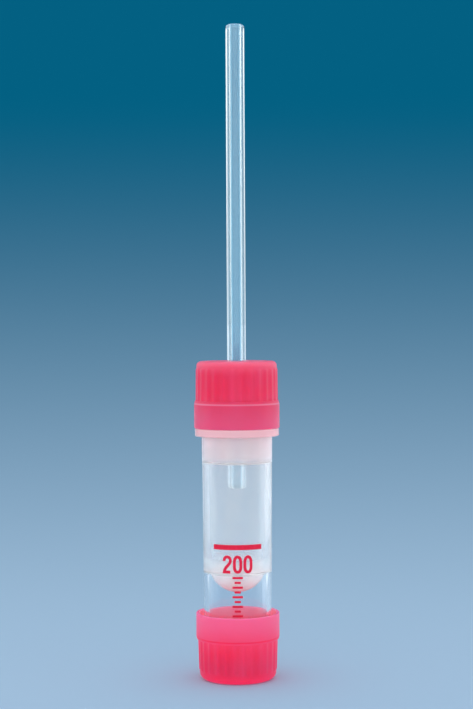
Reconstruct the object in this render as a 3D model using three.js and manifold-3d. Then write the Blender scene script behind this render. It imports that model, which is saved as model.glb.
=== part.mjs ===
// Capillary blood collection tube, standing on its storage cap.
//
// Four pieces share one upright axis.  From the floor up: a closed storage cap, pushed upside
// down onto the foot of the sample tube; the sample tube, one clear moulding with a round false
// bottom over a hollow foot; a perforated cap on the tube's neck; and the glass capillary that
// the perforated cap holds.
//
// Millimetres, +Z up, origin at the centre of the storage cap's flat end.
import * as THREE from 'three';
import { mergeVertices } from 'three/addons/utils/BufferGeometryUtils.js';
import Module from 'manifold-3d';

const wasm = await Module();
wasm.setup();

// ---- Clearances between pieces ----
const seatGap = 0.02;             // between a face and the face it rests on
const gripClearance = 0.05;       // a cap's bore around the tube's wall, on the radius
const plugClearance = 0.04;       // a cap's plug inside the tube's bore, on the radius
const capillaryClearance = 0.02;  // the cap's hole around the capillary, on the radius
const grooveGap = 0.1;            // the tube's mouth below the floor of the cap's groove

// ---- Sample tube: heights are above the end of its foot ----
const tube = {
  vesselRadius: 3.66,             // bore of the vessel, level with the centre of its bowl
  vesselDraft: 0.5,               // degrees, the bore widens upwards
  bowlCentre: 13.7,               // height of the centre of the round false bottom
  bowlGap: 0.06,                  // the false bottom is this much smaller than the foot's bore
  bottomThickness: 0.35,          // of the false bottom
  flare: 3,                       // above its centre the bowl widens to the bore in this height
  wall: 0.76,                     // level with the centre of the bowl
  wallDraft: 0.48,                // degrees, the outside widens upwards
  footWall: 0.5,                  // at the open end of the hollow foot
  footDraft: 0.25,                // degrees, the hollow narrows upwards
  collarHeight: 30.18,            // underside of the collar
  collarThickness: 1.0,
  collarWidth: 1.09,              // beyond the neck
  collarBevel: 0.12,
  neckWall: 0.41,
  mouthDepth: 4.4,                // the wider bore of the mouth ends this far below the collar
  ledge: 0.148,                   // width of the ledge where it ends
  edgeRound: 0.14,
  creviceRound: 0.1,              // where the false bottom meets the foot's bore
};

// ---- Caps: heights are above the rim of the open end ----
const perforatedCap = {
  height: 8.6,
  endThickness: 1.0,
  endRound: 0.6,
  gripWall: 0.84,                 // between the ribs, just above the skirt
  gripDraft: 0.6,                 // degrees, the grip narrows towards the closed end
  skirtHeight: 3.55,
  skirtStep: 0.28,                // the skirt stands out beyond the grip
  skirtWall: 0.45,
  skirtBevel: { width: 0.12, height: 0.45 },
};
const storageCap = {
  height: 8.57,
  endThickness: 1.2,
  endRound: 0.9,
  gripWall: 0.663,
  gripDraft: 1.5,
  skirtHeight: 3.4,
  skirtStep: 0.325,
  skirtWall: 0.4,
  skirtBevel: { width: 0.1, height: 0.35 },
};
const rib = { count: 28, height: 0.13, width: 0.5, crestBevel: 0.1, endSlope: 0.3, stop: 0.2 };
const plug = { length: 2.6, wall: 0.55, noseBevel: 0.2 };
const hub = { wall: 0.83, length: 3.4, leadIn: 0.25 };
const rimRound = 0.1;

// ---- Capillary ----
const capillary = {
  radius: 1.2,
  boreRadius: 0.65,
  length: 59.6,
  depth: 7.8,                     // its lower end below the rim of the perforated cap
  outerRound: 0.42,               // ends rounded by the flame
  innerRound: 0.1,
};

// ---- Resolution: two facets for each rib ----
const facets = 2 * rib.count;
const capillaryFacets = facets / 2;
const roundSteps = 3;
const bowlSteps = 10;

const clearPlastic = { color: 0xdfe7ee, roughness: 0.12, metalness: 0, transparent: true, opacity: 0.45 };
const redPlastic = { color: 0xe63c66, roughness: 0.35, metalness: 0, transparent: true, opacity: 0.85 };
const clearGlass = { color: 0xd6e6f0, roughness: 0.03, metalness: 0, transparent: true, opacity: 0.5 };

const slope = (degrees) => Math.tan(THREE.MathUtils.degToRad(degrees));
const point = (radius, height) => new THREE.Vector2(radius, height);

// ---- Sizes that pieces share ----
const footEnd = storageCap.endThickness + seatGap;
const collarTop = tube.collarHeight + tube.collarThickness;
const neckHeight = perforatedCap.height - perforatedCap.endThickness - grooveGap;
const ledgeHeight = collarTop - tube.mouthDepth;
const ledgeRadius = vesselBore(ledgeHeight);
const mouthRadius = ledgeRadius + tube.ledge;
const neckRadius = mouthRadius + tube.neckWall;
const capRim = footEnd + collarTop + seatGap;

// Inside of the vessel above its bowl.
function vesselBore(height) {
  return tube.vesselRadius + (height - tube.bowlCentre) * slope(tube.vesselDraft);
}

// Outside of the tube below its collar.
function tubeRadius(height) {
  const middle = tube.vesselRadius + tube.wall;
  return middle + (height - tube.bowlCentre) * slope(tube.wallDraft);
}

// Inside of the hollow foot.
function footBore(height) {
  return tubeRadius(0) - tube.footWall - height * slope(tube.footDraft);
}

// Points along an arc of a half-section, from one angle to another, in radians from +radius.
function arc(centreRadius, centreHeight, radius, from, to, steps = roundSteps) {
  const points = [];
  for (let i = 0; i <= steps; i += 1) {
    const angle = from + (to - from) * i / steps;
    const across = centreRadius + radius * Math.cos(angle);
    points.push(point(Math.max(across, 0), centreHeight + radius * Math.sin(angle)));
  }
  return points;
}

// Turns a half-section about the upright axis.
function revolve(section, segments = facets) {
  const geometry = new THREE.LatheGeometry(section, segments);
  geometry.rotateX(Math.PI / 2);
  return geometry;
}

function toSolid(geometry) {
  const bare = geometry.clone();
  bare.deleteAttribute('normal');
  bare.deleteAttribute('uv');
  const merged = mergeVertices(bare, 1e-5);
  const corners = merged.getIndex().array;
  const triangles = [];
  for (let i = 0; i < corners.length; i += 3) {
    const [a, b, c] = corners.slice(i, i + 3);
    if (a !== b && b !== c && c !== a) {
      triangles.push(a, b, c);
    }
  }
  return new wasm.Manifold(new wasm.Mesh({
    numProp: 3,
    vertProperties: Float32Array.from(merged.getAttribute('position').array),
    triVerts: Uint32Array.from(triangles),
  }));
}

function toGeometry(solid) {
  const { vertProperties, triVerts } = solid.getMesh();
  const geometry = new THREE.BufferGeometry();
  geometry.setAttribute('position', new THREE.BufferAttribute(vertProperties, 3));
  geometry.setIndex(new THREE.BufferAttribute(triVerts, 1));
  geometry.computeVertexNormals();
  return geometry;
}

function named(name, geometry, finish) {
  const mesh = new THREE.Mesh(geometry, new THREE.MeshStandardMaterial(finish));
  mesh.name = name;
  return mesh;
}

// ---- Sample tube ----
function sampleTube() {
  const t = tube;
  const edge = t.edgeRound;
  const collarRadius = neckRadius + t.collarWidth;
  const mouth = collarTop + neckHeight;

  // The false bottom is a half-sphere shell that just fits the hollow foot.  A small round
  // closes the crevice where it meets the foot's bore.
  const under = footBore(t.bowlCentre) - t.bowlGap;
  const bowl = under - t.bottomThickness;
  const round = t.creviceRound;
  const roundRadius = footBore(t.bowlCentre) - round;
  const roundDrop = Math.sqrt((under + round) ** 2 - roundRadius ** 2);
  const roundAngle = Math.atan2(-roundDrop, roundRadius);

  return revolve([
    ...arc(0, t.bowlCentre, under, -Math.PI / 2, roundAngle, bowlSteps),
    ...arc(roundRadius, t.bowlCentre - roundDrop, round, roundAngle + Math.PI, 0).slice(1),
    ...arc(footBore(0) + edge, edge, edge, Math.PI, Math.PI * 1.5),
    ...arc(tubeRadius(0) - edge, edge, edge, -Math.PI / 2, 0),
    point(tubeRadius(t.collarHeight), t.collarHeight),
    point(collarRadius - t.collarBevel, t.collarHeight),
    point(collarRadius, t.collarHeight + t.collarBevel),
    point(collarRadius, collarTop - t.collarBevel / 2),
    point(collarRadius - t.collarBevel / 2, collarTop),
    point(neckRadius, collarTop),
    ...arc(neckRadius - edge, mouth - edge, edge, 0, Math.PI / 2),
    ...arc(mouthRadius + edge, mouth - edge, edge, Math.PI / 2, Math.PI),
    point(mouthRadius, ledgeHeight + t.ledge),
    point(ledgeRadius, ledgeHeight),
    point(vesselBore(t.bowlCentre + t.flare), t.bowlCentre + t.flare),
    ...arc(0, t.bowlCentre, bowl, 0, -Math.PI / 2, bowlSteps),
  ]);
}

// ---- Caps, rim down.  A cap is its sizes and the bore of its grip. ----
function gripRadius(cap, bore, height) {
  return bore + cap.gripWall - (height - cap.skirtHeight) * slope(cap.gripDraft);
}

// The outside of a cap, from its rim up to the edge of its flat end.
function outsideOf(cap, bore) {
  const grip = gripRadius(cap, bore, cap.skirtHeight);
  const skirt = grip + cap.skirtStep;
  const end = gripRadius(cap, bore, cap.height) - cap.endRound;
  return [
    ...arc(skirt - rimRound, rimRound, rimRound, -Math.PI / 2, 0, 2),
    point(skirt, cap.skirtHeight - cap.skirtBevel.height),
    point(skirt - cap.skirtBevel.width, cap.skirtHeight),
    point(grip, cap.skirtHeight),
    ...arc(end, cap.height - cap.endRound, cap.endRound, 0, Math.PI / 2),
  ];
}

// The inside of a cap, from the floor beside its plug out to its rim.  The plug seals the
// tube's bore, and the bore of the grip closes round the tube's wall.
function insideOf(cap, bore, plugRadius) {
  const floor = cap.height - cap.endThickness;
  const plugEnd = floor - plug.length;
  const skirtInside = bore + cap.gripWall + cap.skirtStep - cap.skirtWall;
  return [
    point(plugRadius - plug.wall, floor),
    point(plugRadius - plug.wall, plugEnd),
    point(plugRadius - plug.noseBevel, plugEnd),
    point(plugRadius, plugEnd + 2 * plug.noseBevel),
    point(plugRadius, floor),
    point(bore, floor),
    point(bore, cap.skirtHeight),
    point(skirtInside, cap.skirtHeight - (skirtInside - bore) / 2),
    ...arc(skirtInside + rimRound, rimRound, rimRound, Math.PI, Math.PI * 1.5, 2),
  ];
}

// One grip rib: its side view, extruded across its width, with a bevelled crest and a sloping
// end.  The root of the rib stands inside the wall.
function ribOf(cap, bore) {
  const root = rib.height / 2;
  const low = cap.skirtHeight - root;
  const stop = cap.height - cap.endRound - rib.stop;
  const crest = (height) => gripRadius(cap, bore, height) + rib.height - rib.crestBevel;
  const side = new THREE.Shape([
    point(gripRadius(cap, bore, low) - root, low),
    point(crest(low), low),
    point(crest(stop - rib.endSlope), stop - rib.endSlope),
    point(gripRadius(cap, bore, stop) - root, stop),
  ]);
  const geometry = new THREE.ExtrudeGeometry(side, {
    depth: rib.width - 2 * rib.crestBevel,
    bevelEnabled: true,
    bevelSize: rib.crestBevel,
    bevelThickness: rib.crestBevel,
    bevelSegments: 1,
  });
  geometry.translate(0, 0, rib.crestBevel - rib.width / 2);
  geometry.rotateX(Math.PI / 2);
  return toSolid(geometry);
}

function ribbed(cap, bore, section) {
  const one = ribOf(cap, bore);
  let solid = toSolid(revolve(section));
  for (let i = 0; i < rib.count; i += 1) {
    solid = solid.add(one.rotate([0, 0, 360 * i / rib.count]));
  }
  return toGeometry(solid);
}

// The perforated cap's hub holds the capillary, and its plug seals the tube's mouth.
function perforatedCapPiece() {
  const cap = perforatedCap;
  const bore = neckRadius + gripClearance;
  const floor = cap.height - cap.endThickness;
  const hubEnd = floor - hub.length;
  const hole = capillary.radius + capillaryClearance;
  return ribbed(cap, bore, [
    point(hole, cap.height),
    point(hole, hubEnd + hub.leadIn),
    point(hole + hub.leadIn, hubEnd),
    point(hole + hub.wall, hubEnd),
    point(hole + hub.wall, floor),
    ...insideOf(cap, bore, mouthRadius - plugClearance),
    ...outsideOf(cap, bore),
    point(hole, cap.height),
  ]);
}

// The storage cap waits on the foot: its bore closes round the foot, its plug fills the hollow.
function storageCapPiece() {
  const cap = storageCap;
  const bore = tubeRadius(cap.height - cap.skirtHeight - footEnd) + gripClearance;
  return ribbed(cap, bore, [
    point(0, cap.height - cap.endThickness),
    ...insideOf(cap, bore, footBore(plug.length) - plugClearance),
    ...outsideOf(cap, bore),
    point(0, cap.height),
  ]);
}

// ---- Capillary ----
function capillaryPiece() {
  const { radius, boreRadius, length, outerRound, innerRound } = capillary;
  const inner = boreRadius + innerRound;
  const outer = radius - outerRound;
  const section = [
    ...arc(inner, innerRound, innerRound, Math.PI, Math.PI * 1.5),
    ...arc(outer, outerRound, outerRound, -Math.PI / 2, 0),
    ...arc(outer, length - outerRound, outerRound, 0, Math.PI / 2),
    ...arc(inner, length - innerRound, innerRound, Math.PI / 2, Math.PI),
  ];
  return revolve([...section, section[0].clone()], capillaryFacets);
}

// ---- Assembly ----
const bloodTube = new THREE.Group();

const storage = named('storage_cap', storageCapPiece(), redPlastic);
storage.rotation.x = Math.PI;
storage.position.z = storageCap.height;
bloodTube.add(storage);

const vessel = named('sample_tube', sampleTube(), clearPlastic);
vessel.position.z = footEnd;
bloodTube.add(vessel);

// The capillary rides with the cap that holds it.
const collectingCap = new THREE.Group();
collectingCap.position.z = capRim;
collectingCap.add(named('perforated_cap', perforatedCapPiece(), redPlastic));
const glass = named('capillary', capillaryPiece(), clearGlass);
glass.position.z = -capillary.depth;
collectingCap.add(glass);
bloodTube.add(collectingCap);

export default bloodTube;
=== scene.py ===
"""Looks of a capillary blood collection tube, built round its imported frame.

Two red translucent caps, a clear sample tube with a rounded false bottom, and a glass capillary
that stands up out of the upper cap.  Lengths are metres, +Z is up, and the storage cap's flat end
stands on the floor at the origin.
"""
from math import atan2, ceil, cos, pi, radians, sin, sqrt, tan, tau

import bmesh
import bpy
from bpy.props import FloatProperty, FloatVectorProperty, IntProperty, PointerProperty
from mathutils import Matrix, Quaternion, Vector
from mathutils.geometry import interpolate_bezier


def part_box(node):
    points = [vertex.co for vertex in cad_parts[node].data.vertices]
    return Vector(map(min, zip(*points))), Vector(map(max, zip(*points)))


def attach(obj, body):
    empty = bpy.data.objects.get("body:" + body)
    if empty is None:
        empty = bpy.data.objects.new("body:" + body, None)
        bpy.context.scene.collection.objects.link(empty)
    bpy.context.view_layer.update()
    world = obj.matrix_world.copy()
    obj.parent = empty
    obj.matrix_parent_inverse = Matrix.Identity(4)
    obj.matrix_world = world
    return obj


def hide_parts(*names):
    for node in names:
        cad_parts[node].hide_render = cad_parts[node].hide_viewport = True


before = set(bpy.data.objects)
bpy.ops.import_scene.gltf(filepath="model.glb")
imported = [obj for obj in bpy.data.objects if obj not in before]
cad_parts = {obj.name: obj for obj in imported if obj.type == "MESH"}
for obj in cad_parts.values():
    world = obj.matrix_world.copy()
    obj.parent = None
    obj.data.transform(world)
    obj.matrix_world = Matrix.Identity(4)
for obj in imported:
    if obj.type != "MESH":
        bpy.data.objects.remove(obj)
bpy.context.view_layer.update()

bl_info = {
    "name": "Capillary blood collection tube",
    "version": (1, 0, 0),
    "blender": (4, 5, 0),
    "location": "3D View > Sidebar > Blood tube",
    "description": "Builds a capillary blood collection tube, its finishes and a studio for it",
    "category": "Object",
}

MM = 0.001

# Heights of the lower ends of three pieces.
FOOT_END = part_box("sample_tube")[0].z
CAP_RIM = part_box("perforated_cap")[0].z
CAPILLARY_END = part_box("capillary")[0].z

# How finely shapes are divided, and the angle from which an edge is sharp.
TUBE_STEPS = 192
GLASS_STEPS = 96
RIB_STEPS = 20
BOWL_STEPS = 28
UNDERSIDE_STEPS = 24
CREVICE_STEPS = 8
ROUND_STEP = radians(13)
SHARP = radians(40)
GRIP_ROWS = 6
SLOPE_ROWS = 4
KNOT_STEPS = 12
PRINT_PITCH = 0.1 * MM
PAPER_STEPS = 48

# Points this close together are one.  Points this close to a row or a cut are on it.
TOUCHING = 1e-6
ON_LINE = 1e-7


# ---- Sizes and colours ----

def length(name, description, millimetres):
    """A length that a user can change.  Its default is given in millimetres."""
    return FloatProperty(
        name=name, description=description, default=millimetres * MM, min=0.0,
        unit="LENGTH", precision=5,
    )


def angle(name, description, degrees):
    """An angle that a user can change.  Its default is given in degrees."""
    return FloatProperty(
        name=name, description=description, default=radians(degrees), min=0.0, unit="ROTATION",
    )


def count(name, description, number, least):
    """A number of like things that a user can change."""
    return IntProperty(name=name, description=description, default=number, min=least)


def colour(name, description, value):
    """A linear colour that a user can change."""
    return FloatVectorProperty(
        name=name, description=description, default=value, size=3, min=0.0, max=1.0,
        subtype="COLOR",
    )


class TubeSizes(bpy.types.PropertyGroup):
    """The sample tube.  Heights are above the end of its foot."""

    vessel_radius: length("Vessel radius", "Bore of the vessel, level with its bowl's centre", 3.66)
    vessel_draft: angle("Vessel draft", "The bore widens upwards", 0.5)
    bowl_centre: length("Bowl centre", "Height of the centre of the round false bottom", 13.7)
    bowl_gap: length("Bowl gap", "The false bottom is this much smaller than the foot's bore", 0.06)
    bottom: length("Bottom", "Thickness of the false bottom", 0.35)
    flare: length("Flare", "The bowl widens to the bore in this height", 3.0)
    wall: length("Wall", "Wall thickness, level with the centre of the bowl", 0.76)
    wall_draft: angle("Wall draft", "The outside widens upwards", 0.48)
    foot_wall: length("Foot wall", "Wall thickness at the open end of the foot", 0.5)
    foot_draft: angle("Foot draft", "The hollow foot narrows upwards", 0.25)
    collar_height: length("Collar height", "Underside of the collar", 30.18)
    collar_thickness: length("Collar thickness", "Thickness of the collar", 1.0)
    collar_width: length("Collar width", "How far the collar stands out from the neck", 1.09)
    neck_height: length("Neck height", "Neck above the collar", 7.5)
    neck_wall: length("Neck wall", "Wall thickness of the neck", 0.41)
    mouth_depth: length("Mouth depth", "Depth of the mouth's wide bore below the collar's top", 4.4)
    ledge: length("Ledge", "Width of the ledge where the wide bore ends", 0.148)


class CapSizes:
    """What both caps have.  Heights are above the rim of the open end."""

    grip_draft: angle("Grip draft", "The grip narrows towards the closed end", 0.6)
    end_thickness: length("End thickness", "Thickness of the flat end", 1.0)
    end_round: length("End round", "Radius round the flat end", 0.6)
    rim_round: length("Rim round", "Radius on the rim", 0.1)
    plug_length: length("Plug length", "Length of the plug ring", 2.6)
    plug_wall: length("Plug wall", "Thickness of the plug ring", 0.55)
    rib_height: length("Rib height", "How far a rib stands out", 0.1)
    rib_width: length("Rib width", "Width of a rib at half its height", 0.5)
    rib_stop: length("Rib stop", "The ribs end this far from the rounding of the flat end", 0.2)
    rib_slope: length("Rib slope", "Length of the sloping end of a rib", 0.3)
    rib_count: count("Ribs", "Number of ribs round the grip", 28, least=3)


class PerforatedCapSizes(bpy.types.PropertyGroup, CapSizes):
    """The cap that holds the capillary."""

    height: length("Height", "Height of the cap", 8.6)
    bore: length("Bore", "Radius of the bore round the neck", 4.382)
    plug_radius: length("Plug radius", "Outer radius of the plug ring", 3.882)
    grip_wall: length("Grip wall", "Wall of the grip just above the skirt", 0.84)
    skirt_height: length("Skirt height", "Height of the skirt", 3.55)
    skirt_step: length("Skirt step", "The skirt stands out beyond the grip", 0.28)
    skirt_wall: length("Skirt wall", "Wall of the skirt", 0.45)
    bevel_width: length("Bevel width", "Bevel at the top of the skirt, across", 0.12)
    bevel_height: length("Bevel height", "Bevel at the top of the skirt, up", 0.45)
    hole: length("Hole", "Radius of the hole for the capillary", 1.22)
    hub_wall: length("Hub wall", "Wall of the hub round the capillary", 0.83)
    hub_length: length("Hub length", "Length of the hub under the flat end", 3.4)


class StorageCapSizes(bpy.types.PropertyGroup, CapSizes):
    """The closed cap that waits on the foot."""

    grip_draft: angle("Grip draft", "The grip narrows towards the closed end", 1.5)
    height: length("Height", "Height of the cap", 8.57)
    end_thickness: length("End thickness", "Thickness of the flat end", 1.2)
    end_round: length("End round", "Radius round the flat end", 0.9)
    bore: length("Bore", "Radius of the bore round the foot", 4.388)
    plug_radius: length("Plug radius", "Outer radius of the plug ring", 3.754)
    grip_wall: length("Grip wall", "Wall of the grip just above the skirt", 0.663)
    skirt_height: length("Skirt height", "Height of the skirt", 3.4)
    skirt_step: length("Skirt step", "The skirt stands out beyond the grip", 0.325)
    skirt_wall: length("Skirt wall", "Wall of the skirt", 0.4)
    bevel_width: length("Bevel width", "Bevel at the top of the skirt, across", 0.1)
    bevel_height: length("Bevel height", "Bevel at the top of the skirt, up", 0.35)


class CapillarySizes(bpy.types.PropertyGroup):
    """The glass capillary."""

    radius: length("Radius", "Outer radius", 1.2)
    bore_radius: length("Bore radius", "Radius of the bore", 0.65)
    length: length("Length", "Length of the capillary", 59.6)
    outer_round: length("Outer round", "Outer edge of an end, rounded by the flame", 0.42)
    inner_round: length("Inner round", "Inner edge of an end, rounded by the flame", 0.1)


class PrintSizes(bpy.types.PropertyGroup):
    """The print on the tube.  Heights are above the end of its foot."""

    line_height: length("Line height", "Middle of the fill line", 16.27)
    line_width: length("Line width", "Width of the fill line", 0.64)
    line_reach: angle("Line reach", "The fill line reaches this far round to each side", 42.9)
    number_height: length("Number height", "Foot of the number", 12.96)
    digit_height: length("Digit height", "Height of a digit", 2.3)
    digit_width: length("Digit width", "Width of a digit", 1.2)
    digit_pitch: length("Digit pitch", "Distance from digit to digit", 1.34)
    digit_stroke: length("Digit stroke", "Width of the strokes of a digit", 0.38)
    tick_count: count("Ticks", "Number of ticks in the ladder", 9, least=2)
    tick_top: length("Top tick", "Height of the top tick", 12.4)
    tick_pitch: length("Tick pitch", "Distance from tick to tick", 0.61)
    tick_long: length("Long tick", "Length of a long tick", 1.33)
    tick_short: length("Short tick", "Length of a short tick", 0.8)
    tick_width: length("Tick width", "Width of a tick", 0.28)
    ink: length("Ink", "Thickness of the ink", 0.015)


class Finishes(bpy.types.PropertyGroup):
    """Colours of the plastics, the glass, the ink and the studio; some plastic colours are painted
    light.
    """

    cap_red: colour("Cap red", "Red of the caps", (0.97, 0.018, 0.1))
    cap_flow: colour("Cap flow", "Red in the flow of the moulding", (0.98, 0.034, 0.135))
    # The skirt reds of both caps are paler as a painted glow of light shining through the thin skirts.
    perforated_skirt_glow: colour("Perforated cap pale", "Red of its skirt", (1.0, 0.08, 0.215))
    # The end red is a painted highlight on the flat end and along the lower edge of the skirt's bevel.
    end_highlight: colour("Perforated cap end", "Paler red of its flat end", (0.98, 0.17, 0.3))
    storage_skirt_glow: colour("Storage cap pale", "Red of its thin skirt", (0.9, 0.12, 0.28))
    # The inside red is painted light that brightens the shaded inside of the storage cap's skirt.
    storage_inside_painted_light: colour("Storage cap inside", "Red inside its thin skirt", (1.0, 0.27, 0.35))
    tube_clear: colour("Tube clear", "Clear plastic of the tube", (0.98, 0.995, 1.0))
    tube_milky: colour("Tube milky", "Milky share of the tube", (0.93, 0.97, 1.0))
    # Tube blush is painted red light that stands for the caps' red glowing in the clear plastic.
    tube_painted_red_glow: colour("Tube blush", "Plastic that glows with the cap's red", (1.0, 0.5, 0.6))
    glass: colour("Glass", "Glass of the capillary", (0.9, 0.975, 1.0))
    glass_deep: colour("Glass deep", "Glass where it is a little deeper", (0.84, 0.955, 0.98))
    film: colour("Film", "Dry film in the bore of the capillary", (0.5, 0.8, 0.95))
    ink_red: colour("Ink red", "Red of the print", (0.7, 0.012, 0.055))
    ink_thin: colour("Ink thin", "Red where the ink lies thin", (0.78, 0.022, 0.08))
    floor: colour("Floor", "Paper under the tube", (0.385, 0.565, 0.765))
    backdrop: colour("Backdrop", "Paper high up behind the tube", (0.001, 0.125, 0.238))


class StageSizes(bpy.types.PropertyGroup):
    """The camera, and the light of the white studio."""

    distance: length("Camera distance", "From the camera to the axis", 214.0)
    height: length("Camera height", "Height of the camera", 46.3)
    aim: length("Aim", "Height that the camera looks at", 41.85)
    roll: angle("Roll", "The camera is turned this far clockwise", 0.3)
    focal_length: FloatProperty(
        name="Focal length", description="Lens of the camera", default=84.3, unit="CAMERA",
    )
    light: FloatProperty(
        name="Studio light", description="Strength of the light from all round", default=0.92, min=0.0,
    )


# ---- Half-sections ----

def arc(across, height, radius, start, end, steps):
    """Points along an arc of a half-section.  Angles are in radians from straight outwards."""
    turns = [start + (end - start) * i / steps for i in range(steps + 1)]
    return [(max(across + radius * cos(t), 0.0), height + radius * sin(t), 0.0) for t in turns]


def rounded(corners, closed=False):
    """A half-section's points, with each corner (radius, height, round) turned into an arc."""
    points = []
    for i, (across, height, size) in enumerate(corners):
        here = Vector((across, height))
        if size == 0.0 or (not closed and i in (0, len(corners) - 1)):
            points.append(here)
            continue
        before = (Vector(corners[i - 1][:2]) - here).normalized()
        after = (Vector(corners[(i + 1) % len(corners)][:2]) - here).normalized()
        half = before.angle(after) / 2
        centre = here + (before + after).normalized() * size / sin(half)
        first = here + before * size / tan(half) - centre
        last = here + after * size / tan(half) - centre
        steps = max(2, ceil((pi - 2 * half) / ROUND_STEP))
        points += [centre + first.slerp(last, j / steps) * size for j in range(steps + 1)]
    return points


def turned(section, steps, closed=False, turn=tau):
    """Spins a half-section about the upright axis, all the way round if turn isn't given."""
    bm = bmesh.new()
    points = [bm.verts.new((across, 0.0, height)) for across, height in section]
    pairs = list(zip(points, points[1:] + points[:1]))
    edges = [bm.edges.new(pair) for pair in (pairs if closed else pairs[:-1])]
    bmesh.ops.spin(
        bm, geom=points + edges, cent=(0, 0, 0), axis=(0, 0, 1), angle=turn, steps=steps,
        use_merge=turn == tau,
    )
    return bm


def closed_skin(bm):
    """Joins what touches and turns the faces of a closed skin outwards."""
    bmesh.ops.remove_doubles(bm, verts=bm.verts[:], dist=TOUCHING)
    bmesh.ops.recalc_face_normals(bm, faces=bm.faces[:])


def smooth_between(low, high, value):
    """0 below low, 1 above high and a smooth rise between them."""
    share = min(max((value - low) / (high - low), 0.0), 1.0)
    return share * share * (3 - 2 * share)


# ---- Sample tube ----

def tube_radius(tube, height):
    """Outside of the tube below its collar."""
    return tube.vessel_radius + tube.wall + (height - tube.bowl_centre) * tan(tube.wall_draft)


def vessel_bore(tube, height):
    """Inside of the vessel above its bowl."""
    return tube.vessel_radius + (height - tube.bowl_centre) * tan(tube.vessel_draft)


def foot_bore(tube, height):
    """Inside of the hollow foot."""
    return tube_radius(tube, 0.0) - tube.foot_wall - height * tan(tube.foot_draft)


def tube_section(tube):
    """The tube's half-section, from under its false bottom round the outside to the vessel."""
    # Radii that round the corners.
    edge = 0.14 * MM
    collar_root = 0.2 * MM
    collar_lower_edge = 0.12 * MM
    collar_upper_edge = 0.08 * MM
    neck_root = 0.06 * MM
    ledge_edge = 0.04 * MM
    bowl_blend = 12 * MM

    collar_top = tube.collar_height + tube.collar_thickness
    mouth = collar_top + tube.neck_height
    ledge_height = collar_top - tube.mouth_depth
    ledge_radius = vessel_bore(tube, ledge_height)
    mouth_radius = ledge_radius + tube.ledge
    neck = mouth_radius + tube.neck_wall
    collar = neck + tube.collar_width
    lip = tube.bowl_centre + tube.flare

    under = foot_bore(tube, tube.bowl_centre) - tube.bowl_gap
    crevice = 0.1 * MM
    crevice_radius = foot_bore(tube, tube.bowl_centre) - crevice
    crevice_drop = sqrt((under + crevice) ** 2 - crevice_radius ** 2)
    crevice_angle = atan2(-crevice_drop, crevice_radius)
    crevice_height = tube.bowl_centre - crevice_drop
    return rounded([
        *arc(0.0, tube.bowl_centre, under, -pi / 2, crevice_angle, UNDERSIDE_STEPS),
        *arc(crevice_radius, crevice_height, crevice, crevice_angle + pi, 0.0, CREVICE_STEPS)[1:],
        (foot_bore(tube, 0.0), 0.0, edge),
        (tube_radius(tube, 0.0), 0.0, edge),
        (tube_radius(tube, tube.collar_height), tube.collar_height, collar_root),
        (collar, tube.collar_height, collar_lower_edge),
        (collar, collar_top, collar_upper_edge),
        (neck, collar_top, neck_root),
        (neck, mouth, edge),
        (mouth_radius, mouth, edge),
        (mouth_radius, ledge_height + tube.ledge, ledge_edge),
        (ledge_radius, ledge_height, ledge_edge),
        (vessel_bore(tube, lip), lip, bowl_blend),
        *arc(0.0, tube.bowl_centre, under - tube.bottom, 0.0, -pi / 2, BOWL_STEPS),
    ])


# ---- Caps ----

def grip_radius(cap, height):
    """Outside of a cap's grip between the ribs."""
    return cap.bore + cap.grip_wall - (height - cap.skirt_height) * tan(cap.grip_draft)


def rib_end(cap):
    """Height where the sloping ends of a cap's ribs meet the grip."""
    return cap.height - cap.end_round - cap.rib_stop


def cap_inside(cap):
    """The inside of a cap, from the floor inside its plug ring out to the rim."""
    # The plug ring's bevelled nose, then the radii that round the corners.
    nose_width = 0.2 * MM
    nose_height = 0.4 * MM
    nose_tip = 0.1 * MM
    nose_blend = 0.2 * MM
    plug_round = 0.12 * MM
    groove_root = 0.06 * MM
    skirt_root = 0.1 * MM

    floor = cap.height - cap.end_thickness
    plug_end = floor - cap.plug_length
    plug_inside = cap.plug_radius - cap.plug_wall
    skirt_inside = cap.bore + cap.grip_wall + cap.skirt_step - cap.skirt_wall
    flare = cap.skirt_height - (skirt_inside - cap.bore) / 2
    return [
        (plug_inside, floor, plug_round),
        (plug_inside, plug_end, plug_round),
        (cap.plug_radius - nose_width, plug_end, nose_tip),
        (cap.plug_radius, plug_end + nose_height, nose_blend),
        (cap.plug_radius, floor, groove_root),
        (cap.bore, floor, groove_root),
        (cap.bore, cap.skirt_height, skirt_root),
        (skirt_inside, flare, skirt_root),
        (skirt_inside, 0.0, cap.rim_round),
    ]


def cap_outside(cap):
    """The outside of a cap, from its rim to the edge of its flat end, with rows for the ribs."""
    bevel_edge = 0.15 * MM
    bevel_top = 0.04 * MM
    skirt = grip_radius(cap, cap.skirt_height) + cap.skirt_step
    straight = rib_end(cap) - cap.rib_slope - cap.skirt_height
    rows = [cap.skirt_height + straight * (i + 1) / GRIP_ROWS for i in range(GRIP_ROWS)]
    rows += [rib_end(cap) - cap.rib_slope * i / SLOPE_ROWS for i in reversed(range(SLOPE_ROWS))]
    return [
        (skirt, 0.0, cap.rim_round),
        (skirt, cap.skirt_height - cap.bevel_height, bevel_edge),
        (skirt - cap.bevel_width, cap.skirt_height, bevel_top),
        (grip_radius(cap, cap.skirt_height), cap.skirt_height, 0.0),
        *((grip_radius(cap, row), row, 0.0) for row in rows),
        (grip_radius(cap, cap.height), cap.height, cap.end_round),
    ]


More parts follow.
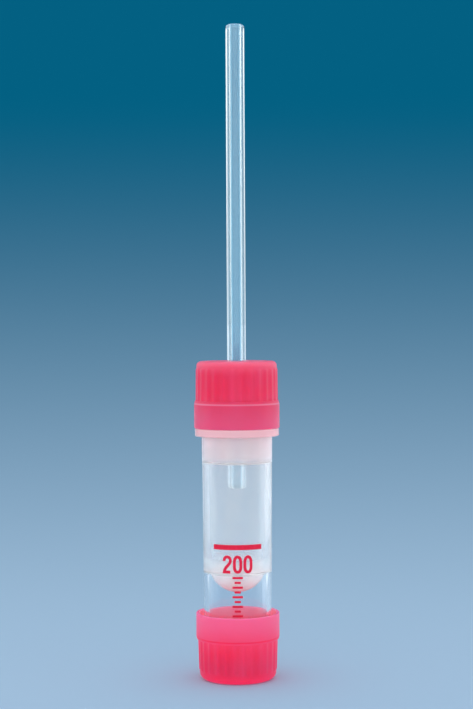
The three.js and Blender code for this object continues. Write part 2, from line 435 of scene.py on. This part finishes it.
def raise_rib(bm, cap):
    """Pushes the middle of a sector's grip outwards into a rib with a sloping end."""
    stop = rib_end(cap)
    half_flank = 0.24 * MM
    skin = 0.01 * MM
    for vert in bm.verts:
        across = vert.co.xy.length
        height = vert.co.z
        on_grip = cap.skirt_height - ON_LINE < height < stop
        if not on_grip or abs(across - grip_radius(cap, height)) > skin:
            continue
        off = abs(atan2(vert.co.y, vert.co.x) - pi / cap.rib_count) * across
        flank = (cap.rib_width / 2 - half_flank, cap.rib_width / 2 + half_flank)
        rise = 1 - smooth_between(*flank, off)
        rise *= 1 - smooth_between(stop - cap.rib_slope, stop, height)
        vert.co.xy *= 1 + cap.rib_height * rise / across


def ribbed(section, cap, closed=False):
    """Spins one rib's share of a cap's half-section, raises its rib and repeats it all round."""
    share = tau / cap.rib_count
    bm = turned(section, RIB_STEPS, closed, share)
    raise_rib(bm, cap)
    bmesh.ops.spin(
        bm, geom=bm.verts[:] + bm.edges[:] + bm.faces[:], cent=(0, 0, 0), axis=(0, 0, 1),
        angle=tau - share, steps=cap.rib_count - 1, use_duplicate=True,
    )
    closed_skin(bm)
    return bm


# ---- Print ----

def bent(bm, tube):
    """Bends a flat print round the front of the tube, a hair's breadth clear of it."""
    clear = 0.004 * MM
    for vert in bm.verts:
        radius = tube_radius(tube, vert.co.z) + clear - vert.co.y
        turn = vert.co.x / radius
        vert.co.x = radius * sin(turn)
        vert.co.y = -radius * cos(turn)


def slab(bm, low, high, ink):
    """Adds a flat rectangle of ink between two corners (x, z)."""
    middle = Vector(((low[0] + high[0]) / 2, -ink / 2, (low[1] + high[1]) / 2))
    size = Matrix.Diagonal((high[0] - low[0], ink, high[1] - low[1], 1.0))
    bmesh.ops.create_cube(bm, size=1.0, matrix=Matrix.Translation(middle) @ size)


def sliced(bm, half):
    """Cuts a flat print that reaches half to each side into upright strips, so that it can bend."""
    cuts = ceil(half / PRINT_PITCH)
    for i in range(-cuts, cuts + 1):
        bmesh.ops.bisect_plane(
            bm, geom=bm.verts[:] + bm.edges[:] + bm.faces[:], dist=ON_LINE,
            plane_co=(i * PRINT_PITCH, 0, 0), plane_no=(1, 0, 0),
        )


def curve_through(*knots):
    """Points (x, z) along curves, each given as its start and its two handles, to the last knot."""
    points = [Vector(knots[0])]
    for i in range(0, len(knots) - 1, 3):
        points += interpolate_bezier(*(Vector(k) for k in knots[i:i + 4]), KNOT_STEPS)[1:]
    return points


def nought(width, height):
    """Middle line of a nought round the origin, closed."""
    side, bend = width / 2, 0.62 * width / 2
    waist, top = 0.14 * height, height / 2
    rise = waist + (top - waist) * 0.6
    return curve_through(
        (side, waist), (side, rise), (bend, top), (0, top),
        (-bend, top), (-side, rise), (-side, waist),
        (-side, 0.05 * height), (-side, -0.05 * height), (-side, -waist),
        (-side, -rise), (-bend, -top), (0, -top),
        (bend, -top), (side, -rise), (side, -waist),
    )


def two(width, height):
    """Middle line of a two round the origin."""
    side, top = width / 2, height / 2
    sweep_down = curve_through(
        (-side, 0.22 * height), (-side, 0.4 * height), (-0.6 * side, top), (0, top),
        (0.62 * side, top), (side, 0.42 * height), (side, 0.24 * height),
        (side, 0), (-0.8 * side, -0.16 * height), (-side, -top),
    )
    return [*sweep_down, Vector((side, -top))]


def stroke(bm, path, at, width, ink, closed=False):
    """Adds a flat stroke of even width along a path of points (x, z) round the point at.

    At a sharp corner it stands out by no more than its own width.
    """
    sharpest = 0.5
    rails = []
    for i, point in enumerate(path):
        last = i == len(path) - 1
        before = (point - path[i - 1]).normalized() if closed or i else Vector((0, 0))
        after = before if last and not closed else (path[(i + 1) % len(path)] - point).normalized()
        along = (before + after).normalized()
        side = Vector((-along.y, along.x)) * width / 2 / max(along.dot(after), sharpest)
        edges = (point + side, point - side)
        rails.append([bm.verts.new((at[0] + p.x, 0, at[1] + p.y)) for p in edges])
    pairs = list(zip(rails, rails[1:] + rails[:1]))
    faces = [bm.faces.new((*a, *reversed(b))) for a, b in (pairs if closed else pairs[:-1])]
    raised = bmesh.ops.extrude_face_region(bm, geom=faces, use_keep_orig=True)["geom"]
    front = [g for g in raised if isinstance(g, bmesh.types.BMVert)]
    bmesh.ops.translate(bm, verts=front, vec=(0, -ink, 0))


def number_mesh(sizes):
    """The number 200 as a flat closed mesh of ink, centred on the tube's front."""
    bm = bmesh.new()
    width = sizes.digit_width - sizes.digit_stroke
    height = sizes.digit_height - sizes.digit_stroke
    middle = sizes.number_height + sizes.digit_height / 2
    stroke(bm, two(width, height), (-sizes.digit_pitch, middle), sizes.digit_stroke, sizes.ink)
    for place in (0.0, sizes.digit_pitch):
        stroke(bm, nought(width, height), (place, middle), sizes.digit_stroke, sizes.ink, closed=True)
    return bm


# ---- Materials ----

class Shader:
    """A new material with one Principled shader, and short ways to add nodes in front of it.

    A source is an output of a node.  A share is a source between 0 and 1.
    """

    def __init__(self, name):
        self.material = bpy.data.materials.new(name)
        self.material.use_nodes = True
        self.tree = self.material.node_tree
        self.principled = self.tree.nodes["Principled BSDF"]
        self.place = self.tree.nodes.new("ShaderNodeTexCoord").outputs["Object"]

    def add(self, kind, **settings):
        """A new node with these settings."""
        node = self.tree.nodes.new(kind)
        for setting, value in settings.items():
            setattr(node, setting, value)
        return node

    def link(self, source, target):
        """Joins an output to an input."""
        self.tree.links.new(source, target)

    def feed(self, socket, source):
        """Lets a source drive that socket of the shader."""
        self.link(source, self.principled.inputs[socket])

    def set(self, **values):
        """Sets sockets of the shader, with _ for each space in their names."""
        for socket, value in values.items():
            self.principled.inputs[socket.replace("_", " ")].default_value = value

    def math(self, operation, first, second=0.0):
        """A Math node between two sources or numbers."""
        node = self.add("ShaderNodeMath", operation=operation)
        for socket, value in zip(node.inputs, (first, second)):
            if isinstance(value, (int, float)):
                socket.default_value = value
            else:
                self.link(value, socket)
        return node.outputs["Value"]

    def ranged(self, source, low, high, to_low=0.0, to_high=1.0):
        """A smooth rise from to_low, where source is low, to to_high, where it is high."""
        node = self.add("ShaderNodeMapRange", interpolation_type="SMOOTHSTEP")
        self.link(source, node.inputs["Value"])
        node.inputs["From Min"].default_value = low
        node.inputs["From Max"].default_value = high
        node.inputs["To Min"].default_value = to_low
        node.inputs["To Max"].default_value = to_high
        return node.outputs["Result"]

    def rise(self, source, middle, width):
        """0 below middle and 1 above it, over a soft step of that width."""
        return self.ranged(source, middle - width / 2, middle + width / 2)

    def fall(self, source, middle, width):
        """1 below middle and 0 above it, over a soft step of that width."""
        return self.ranged(source, middle - width / 2, middle + width / 2, 1.0, 0.0)

    def gap(self, source, middle):
        """How far source is from middle, either way."""
        return self.math("ABSOLUTE", self.math("SUBTRACT", source, middle))

    def near(self, source, middle, reach, width):
        """1 within reach of middle and 0 further away, over a soft step of that width."""
        return self.fall(self.gap(source, middle), reach, width)

    def both(self, first, second):
        """Where two shares meet."""
        return self.math("MULTIPLY", first, second)

    def most(self, start, *shares):
        """The largest of start and of each share times its weight."""
        for share, weight in shares:
            start = self.math("MAXIMUM", start, self.math("MULTIPLY", share, weight))
        return start

    def mixed(self, share, first, second):
        """The colour first, turning into second where share is 1."""
        node = self.add("ShaderNodeMix", data_type="RGBA")
        self.link(share, node.inputs["Factor"])
        for name, value in (("A", first), ("B", second)):
            socket = [s for s in node.inputs if s.name == name and s.type == "RGBA"][0]
            if hasattr(value, "links"):
                self.link(value, socket)
            else:
                socket.default_value = (*value, 1.0)
        return [s for s in node.outputs if s.type == "RGBA"][0]

    def part(self, axis):
        """How far along that axis, from the origin."""
        split = self.add("ShaderNodeSeparateXYZ")
        self.link(self.place, split.inputs["Vector"])
        return split.outputs[axis]

    def distance(self, axes, height):
        """Distance from the point at that height on the axis, along the given axes only."""
        off = self.add("ShaderNodeVectorMath", operation="SUBTRACT")
        self.link(self.place, off.inputs[0])
        off.inputs[1].default_value = (0.0, 0.0, height)
        kept = self.add("ShaderNodeVectorMath", operation="MULTIPLY")
        self.link(off.outputs["Vector"], kept.inputs[0])
        kept.inputs[1].default_value = axes
        size = self.add("ShaderNodeVectorMath", operation="LENGTH")
        self.link(kept.outputs["Vector"], size.inputs[0])
        return size.outputs["Value"]

    def radius(self):
        """Distance from the upright axis."""
        return self.distance((1.0, 1.0, 0.0), 0.0)

    def noise(self, scale, detail=2.0):
        """Noise with about scale features a millimetre along each axis."""
        mapping = self.add("ShaderNodeMapping")
        mapping.inputs["Scale"].default_value = [s / MM for s in scale]
        self.link(self.place, mapping.inputs["Vector"])
        node = self.add("ShaderNodeTexNoise")
        node.inputs["Scale"].default_value = 1.0
        node.inputs["Detail"].default_value = detail
        self.link(mapping.outputs["Vector"], node.inputs["Vector"])
        return node.outputs["Fac"]

    def bump(self, source, height):
        """Dents the surface by up to height."""
        node = self.add("ShaderNodeBump")
        node.inputs["Strength"].default_value = 1.0
        node.inputs["Distance"].default_value = height
        self.link(source, node.inputs["Height"])
        self.feed("Normal", node.outputs["Normal"])


def red_plastic(name, colours, cap, rim, skirt_glow_colour, inside_painted_light, highlight_colour):
    """Soft translucent polythene for the cap whose rim is at height rim.

    It turns to the skirt's red towards the rim, a painted glow that stands for light through the thin
    skirt, to the inside red inside the skirt, painted light in its shaded inside, and to the end red
    in the flat end and along the lower edge of the bevel, a painted highlight.
    """
    s = Shader(name)
    off = s.gap(s.part("Z"), rim)
    # Paler towards the rim: painted glow that stands for light shining through the thin skirt.
    skirt = s.fall(off, middle=2.6 * MM, width=4.8 * MM)
    # Painted highlight along the lower edge of the bevel and round the flat end.
    bevel_edge = cap.skirt_height - 0.9 * cap.bevel_height
    bevel_highlight = s.near(off, bevel_edge, reach=0.1 * MM, width=0.08 * MM)
    end = s.math("MAXIMUM", s.rise(off, cap.height - 0.5 * MM, width=3 * MM), bevel_highlight)
    flow = s.ranged(s.noise((0.35, 0.35, 0.12), detail=3.0), 0.35, 0.7)
    # Inside the skirt the red is paler again: painted light in its shaded inside.
    inside_of_skirt = cap.bore + cap.grip_wall + (cap.skirt_step - cap.skirt_wall) / 2
    inside = s.fall(s.radius(), inside_of_skirt, width=0.06 * MM)
    thin = s.mixed(inside, skirt_glow_colour, inside_painted_light)
    body = s.mixed(skirt, s.mixed(flow, colours.cap_red, colours.cap_flow), thin)
    s.feed("Base Color", s.mixed(end, body, highlight_colour))
    s.feed("Roughness", s.ranged(s.noise((1.5, 1.5, 0.8)), 0.3, 0.7, 0.36, 0.46))
    s.set(
        IOR=1.5, Specular_IOR_Level=0.3, Subsurface_Weight=0.9,
        Subsurface_Radius=(1.0, 0.4, 0.5), Subsurface_Scale=2.5 * MM,
    )
    return s.material


def clear_plastic(name, colours, tube):
    """Clear polypropylene that is milky in places and tinted with painted light of the caps' red.

    It is milky on the inner skin of the vessel, most of all in its bowl, in the crevice under the
    bowl, on the ledge of the mouth and in the collar.  The collar, the mouth and the bottom of the
    bowl are tinted with painted red light, which stands for the caps' red glow shining into them.
    """
    s = Shader(name)
    flow = s.ranged(s.noise((0.5, 0.5, 0.1)), 0.3, 0.7)
    radius = s.radius()
    height = s.math("SUBTRACT", s.part("Z"), FOOT_END)
    half_wall = tube_radius(tube, tube.bowl_centre) - tube.wall / 2
    under = foot_bore(tube, tube.bowl_centre) - tube.bowl_gap
    ledge = tube.collar_height + tube.collar_thickness - tube.mouth_depth + tube.ledge / 2
    mouth = vessel_bore(tube, ledge) + tube.ledge
    neck = mouth + tube.neck_wall

    within = s.fall(radius, half_wall, width=0.1 * MM)
    vessel = s.rise(height, tube.bowl_centre, width=2 * MM)
    from_bowl = s.distance((1.0, 1.0, 1.0), FOOT_END + tube.bowl_centre)
    shell = s.fall(from_bowl, under + 0.02 * MM, width=0.02 * MM)
    skin = s.math("MAXIMUM", s.both(within, vessel), shell)
    bowl = s.both(skin, s.fall(height, tube.bowl_centre, width=2 * tube.flare))
    # The bowl's bottom takes painted red light from the cap below.
    bottom = s.both(shell, s.fall(height, tube.bowl_centre - 1.5 * MM, width=3 * MM))
    crevice_height = tube.bowl_centre - 0.95 * MM
    crevice = s.both(s.near(height, crevice_height, reach=0.2 * MM, width=0.2 * MM), within)
    ring = s.both(
        s.near(height, ledge, reach=0.15 * MM, width=0.1 * MM),
        s.fall(radius, mouth + 0.1 * MM, width=0.1 * MM),
    )
    collar = s.both(
        s.rise(radius, neck, width=0.2 * MM),
        s.rise(height, tube.collar_height, width=0.3 * MM),
    )
    mouth_end = s.rise(height, ledge, width=2 * MM)

    plain = s.mixed(flow, colours.tube_clear, colours.tube_milky)
    # Painted red light: the collar, the mouth and the bowl's bottom take the caps' red glow as colour.
    painted_red_glow = s.most(s.math("MULTIPLY", collar, 0.8), (mouth_end, 0.14), (bottom, 0.18))
    s.feed("Base Color", s.mixed(painted_red_glow, plain, colours.tube_painted_red_glow))
    haze = s.most(
        s.ranged(vessel, 0.0, 1.0, 0.01, 0.05), (s.ranged(skin, 0.0, 1.0), 0.22),
        (bowl, 0.85), (ring, 0.9), (crevice, 0.5), (collar, 0.6), (s.both(skin, mouth_end), 0.75),
    )
    s.feed("Transmission Weight", s.math("SUBTRACT", 1.0, haze))
    grain = s.ranged(s.noise((0.9, 0.9, 0.4)), 0.3, 0.7, 0.03, 0.08)
    s.feed("Roughness", s.math("ADD", grain, s.math("MULTIPLY", skin, 0.14)))
    s.bump(s.noise((0.6, 0.6, 0.08), detail=3.0), 0.004 * MM)
    s.set(IOR=1.49)
    return s.material


def drawn_glass(name, colours, capillary):
    """Drawn glass with faint streaks along its length and a thin dry film in its bore."""
    s = Shader(name)
    streaks = s.ranged(s.noise((1.6, 1.6, 0.03)), 0.3, 0.7)
    bore = s.fall(s.radius(), capillary.bore_radius + 0.2 * MM, width=0.1 * MM)
    film = s.both(bore, s.rise(s.part("Z"), CAP_RIM, width=10 * MM))
    plain = s.mixed(streaks, colours.glass, colours.glass_deep)
    s.feed("Base Color", s.mixed(film, plain, colours.film))
    s.feed("Transmission Weight", s.ranged(film, 0.0, 1.0, 1.0, 0.8))
    s.feed("Roughness", s.ranged(s.noise((2.0, 2.0, 0.2)), 0.4, 0.8, 0.02, 0.05))
    s.set(IOR=1.47)
    return s.material


def red_ink(name, colours):
    """Printed ink, a little thinner here and there."""
    s = Shader(name)
    density = s.noise((4.0, 4.0, 4.0), detail=3.0)
    thin = s.ranged(density, 0.45, 0.75)
    s.feed("Base Color", s.mixed(thin, colours.ink_red, colours.ink_thin))
    s.feed("Roughness", s.ranged(density, 0.3, 0.7, 0.38, 0.55))
    s.bump(density, 0.002 * MM)
    s.set(IOR=1.5, Specular_IOR_Level=0.15)
    return s.material


def paper(name, colours):
    """Matt paper, pale on the floor and deeper up the backdrop.

    Light on its way to a matt surface comes through it from the white studio, as in a light tent,
    so that the paper's colour doesn't dull the plastics.
    """
    s = Shader(name)
    near_floor = s.fall(s.part("Y"), middle=225 * MM, width=570 * MM)
    s.feed("Base Color", s.mixed(near_floor, colours.backdrop, colours.floor))
    s.feed("Roughness", s.ranged(s.noise((0.4, 0.4, 0.4), detail=4.0), 0.3, 0.7, 0.85, 0.95))
    s.set(Specular_IOR_Level=0.0)
    tent = s.math("GREATER_THAN", s.add("ShaderNodeLightPath").outputs["Diffuse Depth"], 0.5)
    mix = s.add("ShaderNodeMixShader")
    s.link(tent, mix.inputs["Fac"])
    s.link(s.principled.outputs["BSDF"], mix.inputs[1])
    s.link(s.add("ShaderNodeBsdfTransparent").outputs["BSDF"], mix.inputs[2])
    s.link(mix.outputs["Shader"], s.tree.nodes["Material Output"].inputs["Surface"])
    return s.material


def material(name, make, *sizes):
    """The material of that name, made once."""
    return bpy.data.materials.get(name) or make(name, *sizes)


# ---- Pieces ----

def piece(name, bm, finish, body, node=None):
    """Puts a finished mesh into the scene, on its body and in place of its plain node."""
    mesh = bpy.data.meshes.new(name)
    bm.to_mesh(mesh)
    bm.free()
    mesh.shade_smooth()
    mesh.set_sharp_from_angle(angle=SHARP)
    mesh.materials.append(finish)
    made = bpy.data.objects.new(name, mesh)
    bpy.context.scene.collection.objects.link(made)
    normals = made.modifiers.new("face_weighted_normals", "WEIGHTED_NORMAL")
    normals.keep_sharp = True
    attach(made, body)
    if node:
        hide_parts(node)


class BLOODTUBE_OT_storage_cap(bpy.types.Operator):
    """Build the closed cap that stands upside down on the floor"""

    bl_idname = "bloodtube.storage_cap"
    bl_label = "Storage cap"

    def execute(self, context):
        cap = context.scene.bloodtube_storage_cap
        section = rounded([
            (0.0, cap.height - cap.end_thickness, 0.0),
            *cap_inside(cap),
            *cap_outside(cap),
            (0.0, cap.height, 0.0),
        ])
        bm = ribbed(section, cap)
        bmesh.ops.rotate(bm, verts=bm.verts[:], cent=(0, 0, 0), matrix=Matrix.Rotation(pi, 3, "X"))
        bmesh.ops.translate(bm, verts=bm.verts[:], vec=(0, 0, cap.height))
        colours = context.scene.bloodtube_finishes
        # Painted light: its skirt is paler for light through the thin wall and its inside is lit up.
        finish = material(
            "storage_cap_red", red_plastic, colours, cap, cap.height,
            colours.storage_skirt_glow, colours.storage_inside_painted_light, colours.cap_red,
        )
        piece("storage_cap_moulding", bm, finish, "storage_cap", "storage_cap")
        return {"FINISHED"}


class BLOODTUBE_OT_sample_tube(bpy.types.Operator):
    """Build the clear tube with its false bottom and hollow foot"""

    bl_idname = "bloodtube.sample_tube"
    bl_label = "Sample tube"

    def execute(self, context):
        tube = context.scene.bloodtube_tube
        bm = turned(tube_section(tube), TUBE_STEPS)
        closed_skin(bm)
        bmesh.ops.translate(bm, verts=bm.verts[:], vec=(0, 0, FOOT_END))
        finish = material("clear_plastic", clear_plastic, context.scene.bloodtube_finishes, tube)
        piece("sample_tube_moulding", bm, finish, "sample_tube", "sample_tube")
        return {"FINISHED"}


class BLOODTUBE_OT_print(bpy.types.Operator):
    """Print the fill line, the volume and a ladder of ticks on the tube"""

    bl_idname = "bloodtube.print"
    bl_label = "Print"

    def execute(self, context):
        scene = context.scene
        sizes = scene.bloodtube_print
        tube = scene.bloodtube_tube
        finish = material("red_ink", red_ink, scene.bloodtube_finishes)

        line = bmesh.new()
        half = tube_radius(tube, sizes.line_height) * sizes.line_reach
        low = (-half, sizes.line_height - sizes.line_width / 2)
        high = (half, sizes.line_height + sizes.line_width / 2)
        slab(line, low, high, sizes.ink)
        sliced(line, half)

        ticks = bmesh.new()
        for i in range(sizes.tick_count):
            half = (sizes.tick_short if i % 2 else sizes.tick_long) / 2
            height = sizes.tick_top - i * sizes.tick_pitch
            low = (-half, height - sizes.tick_width / 2)
            high = (half, height + sizes.tick_width / 2)
            slab(ticks, low, high, sizes.ink)
        sliced(ticks, sizes.tick_long / 2)

        number = number_mesh(sizes)
        sliced(number, 3 * sizes.digit_pitch / 2)
        for name, bm in (("fill_line", line), ("volume_number", number), ("tick_ladder", ticks)):
            bent(bm, tube)
            bmesh.ops.translate(bm, verts=bm.verts[:], vec=(0, 0, FOOT_END))
            bmesh.ops.recalc_face_normals(bm, faces=bm.faces[:])
            piece(name, bm, finish, "sample_tube")
        return {"FINISHED"}


class BLOODTUBE_OT_perforated_cap(bpy.types.Operator):
    """Build the cap that holds the capillary"""

    bl_idname = "bloodtube.perforated_cap"
    bl_label = "Perforated cap"

    def execute(self, context):
        cap = context.scene.bloodtube_perforated_cap
        floor = cap.height - cap.end_thickness
        hub = cap.hole + cap.hub_wall
        hub_end = floor - cap.hub_length
        hole_round = 0.08 * MM
        lead_in = 0.25 * MM
        lead_in_round = 0.05 * MM
        hub_round = 0.15 * MM
        hub_root = 0.12 * MM
        section = rounded([
            (cap.hole, cap.height, hole_round),
            (cap.hole, hub_end + lead_in, lead_in_round),
            (cap.hole + lead_in, hub_end, lead_in_round),
            (hub, hub_end, hub_round),
            (hub, floor, hub_root),
            *cap_inside(cap),
            *cap_outside(cap),
        ], closed=True)
        bm = ribbed(section, cap, closed=True)
        bmesh.ops.translate(bm, verts=bm.verts[:], vec=(0, 0, CAP_RIM))
        colours = context.scene.bloodtube_finishes
        # Painted glow on the skirt, and a painted highlight on the flat end and along the bevel.
        finish = material(
            "perforated_cap_red", red_plastic, colours, cap, CAP_RIM,
            colours.perforated_skirt_glow, colours.perforated_skirt_glow, colours.end_highlight,
        )
        piece("perforated_cap_moulding", bm, finish, "collecting_cap", "perforated_cap")
        return {"FINISHED"}


class BLOODTUBE_OT_capillary(bpy.types.Operator):
    """Build the glass capillary with its flame-rounded ends"""

    bl_idname = "bloodtube.capillary"
    bl_label = "Capillary"

    def execute(self, context):
        glass = context.scene.bloodtube_capillary
        section = rounded([
            (glass.bore_radius, 0.0, glass.inner_round),
            (glass.radius, 0.0, glass.outer_round),
            (glass.radius, glass.length, glass.outer_round),
            (glass.bore_radius, glass.length, glass.inner_round),
        ], closed=True)
        bm = turned(section, GLASS_STEPS, closed=True)
        closed_skin(bm)
        bmesh.ops.translate(bm, verts=bm.verts[:], vec=(0, 0, CAPILLARY_END))
        finish = material("drawn_glass", drawn_glass, context.scene.bloodtube_finishes, glass)
        piece("capillary_tube", bm, finish, "collecting_cap", "capillary")
        return {"FINISHED"}


# ---- Studio ----

def drawn_out(bm, edges, offset):
    """Draws edges out into a flat strip."""
    made = bmesh.ops.extrude_edge_only(bm, edges=edges)["geom"]
    points = [g for g in made if isinstance(g, bmesh.types.BMVert)]
    bmesh.ops.translate(bm, verts=points, vec=offset)


def sweep():
    """A seamless floor and backdrop, bent from one strip of paper."""
    half_width = 0.7
    front = -0.6
    back = 0.08
    bend = 0.7
    top = 1.3
    bm = bmesh.new()
    row = [bm.verts.new((side, front, 0.0)) for side in (-half_width, half_width)]
    drawn_out(bm, [bm.edges.new(row)], (0, back - front, 0))
    far = [edge for edge in bm.edges if all(v.co.y > 0 for v in edge.verts)]
    risen = bmesh.ops.spin(
        bm, geom=far, cent=(0, back, bend), axis=(1, 0, 0), angle=pi / 2, steps=PAPER_STEPS,
    )["geom_last"]
    drawn_out(bm, [g for g in risen if isinstance(g, bmesh.types.BMEdge)], (0, 0, top - bend))
    bmesh.ops.recalc_face_normals(bm, faces=bm.faces[:])
    return bm


def softbox(name, place, target, width, height, brightness, glints_only=True):
    """A rectangular soft lamp at place that faces target, as bright to look at as given.

    With glints_only it shows in gloss and glass and shines into the soft red plastic, but leaves
    matt surfaces alone.
    """
    lamp = bpy.data.lights.new(name, "AREA")
    lamp.shape = "RECTANGLE"
    lamp.size = width
    lamp.size_y = height
    lamp.energy = brightness * pi * width * height
    made = bpy.data.objects.new(name, lamp)
    made.location = place
    made.rotation_euler = (Vector(target) - Vector(place)).to_track_quat("-Z", "Y").to_euler()
    made.visible_camera = False
    made.visible_diffuse = not glints_only
    bpy.context.scene.collection.objects.link(made)


class BLOODTUBE_OT_stage(bpy.types.Operator):
    """Set up the floor, the lamps and the camera"""

    bl_idname = "bloodtube.stage"
    bl_label = "Stage"

    def execute(self, context):
        scene = context.scene
        sizes = scene.bloodtube_stage
        for name in ("Cube", "Light", "Camera"):
            if name in bpy.data.objects:
                bpy.data.objects.remove(bpy.data.objects[name])
        mesh = bpy.data.meshes.new("backdrop")
        bm = sweep()
        bm.to_mesh(mesh)
        bm.free()
        mesh.shade_smooth()
        mesh.materials.append(material("backdrop_paper", paper, scene.bloodtube_finishes))
        backdrop = bpy.data.objects.new("backdrop", mesh)
        scene.collection.objects.link(backdrop)
        backdrop.visible_shadow = False

        softbox("right_panel", (0.07, 0.08, 0.08), (0, 0.08, 0.08), 0.2, 0.16, 0.45)
        softbox("left_back_panel", (-0.07, 0.15, 0.08), (0, 0.15, 0.08), 0.08, 0.16, 0.6)
        softbox("left_panel", (-0.07, 0.025, 0.08), (0, 0.025, 0.08), 0.09, 0.16, 0.35)
        softbox("right_card", (0.026, 0.015, 0.023), (0, 0, 0.023), 0.056, 0.045, 0.18)
        softbox("left_card", (-0.026, 0.015, 0.023), (0, 0, 0.023), 0.056, 0.045, 0.06)
        softbox("top_panel", (0, 0.02, 0.4), (0, 0, 0), 0.24, 0.16, 3.0)
        softbox("front_softbox", (0, -0.7, 0.2), (0, 0, 0.03), 1.0, 0.35, 0.5, glints_only=False)

        world = bpy.data.worlds.new("studio")
        world.use_nodes = True
        background = world.node_tree.nodes["Background"]
        background.inputs["Color"].default_value = (1.0, 1.0, 1.0, 1.0)
        background.inputs["Strength"].default_value = sizes.light
        scene.world = world

        lens = bpy.data.cameras.new("camera")
        lens.lens = sizes.focal_length
        camera = bpy.data.objects.new("camera", lens)
        camera.location = (0, -sizes.distance, sizes.height)
        look = Vector((0, 0, sizes.aim)) - camera.location
        turned_by = Quaternion((0, 0, 1), -sizes.roll)
        camera.rotation_euler = (look.to_track_quat("-Z", "Y") @ turned_by).to_euler()
        scene.collection.objects.link(camera)
        scene.camera = camera
        scene.view_settings.view_transform = "Standard"

        # Light that has come through the clear plastic counts in full, or it looks dark inside.
        scene.cycles.blur_glossy = 0.0
        scene.cycles.max_bounces = 24
        scene.cycles.transmission_bounces = 24
        scene.cycles.diffuse_bounces = 16
        scene.cycles.glossy_bounces = 12
        scene.cycles.transparent_max_bounces = 16
        return {"FINISHED"}


class BLOODTUBE_PT_panel(bpy.types.Panel):
    """Lists the tube's pieces"""

    bl_idname = "BLOODTUBE_PT_panel"
    bl_label = "Blood collection tube"
    bl_space_type = "VIEW_3D"
    bl_region_type = "UI"
    bl_category = "Blood tube"

    def draw(self, context):
        for operator in OPERATORS:
            self.layout.operator(operator.bl_idname)
        for group in GROUPS:
            box = self.layout.box()
            values = getattr(context.scene, group)
            for name in values.bl_rna.properties.keys():
                if name not in ("rna_type", "name"):
                    box.prop(values, name)


GROUPS = {
    "bloodtube_storage_cap": StorageCapSizes,
    "bloodtube_tube": TubeSizes,
    "bloodtube_print": PrintSizes,
    "bloodtube_perforated_cap": PerforatedCapSizes,
    "bloodtube_capillary": CapillarySizes,
    "bloodtube_finishes": Finishes,
    "bloodtube_stage": StageSizes,
}
OPERATORS = (
    BLOODTUBE_OT_storage_cap,
    BLOODTUBE_OT_sample_tube,
    BLOODTUBE_OT_print,
    BLOODTUBE_OT_perforated_cap,
    BLOODTUBE_OT_capillary,
    BLOODTUBE_OT_stage,
)


def register():
    for group in GROUPS.values():
        bpy.utils.register_class(group)
    for name, group in GROUPS.items():
        setattr(bpy.types.Scene, name, PointerProperty(type=group))
    for operator in OPERATORS:
        bpy.utils.register_class(operator)
    bpy.utils.register_class(BLOODTUBE_PT_panel)


def unregister():
    bpy.utils.unregister_class(BLOODTUBE_PT_panel)
    for operator in reversed(OPERATORS):
        bpy.utils.unregister_class(operator)
    for name, group in reversed(GROUPS.items()):
        delattr(bpy.types.Scene, name)
        bpy.utils.unregister_class(group)


def main():
    """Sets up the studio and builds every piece."""
    register()
    for name in ("stage", "storage_cap", "sample_tube", "print", "perforated_cap", "capillary"):
        getattr(bpy.ops.bloodtube, name)()


if __name__ == "__main__":
    main()
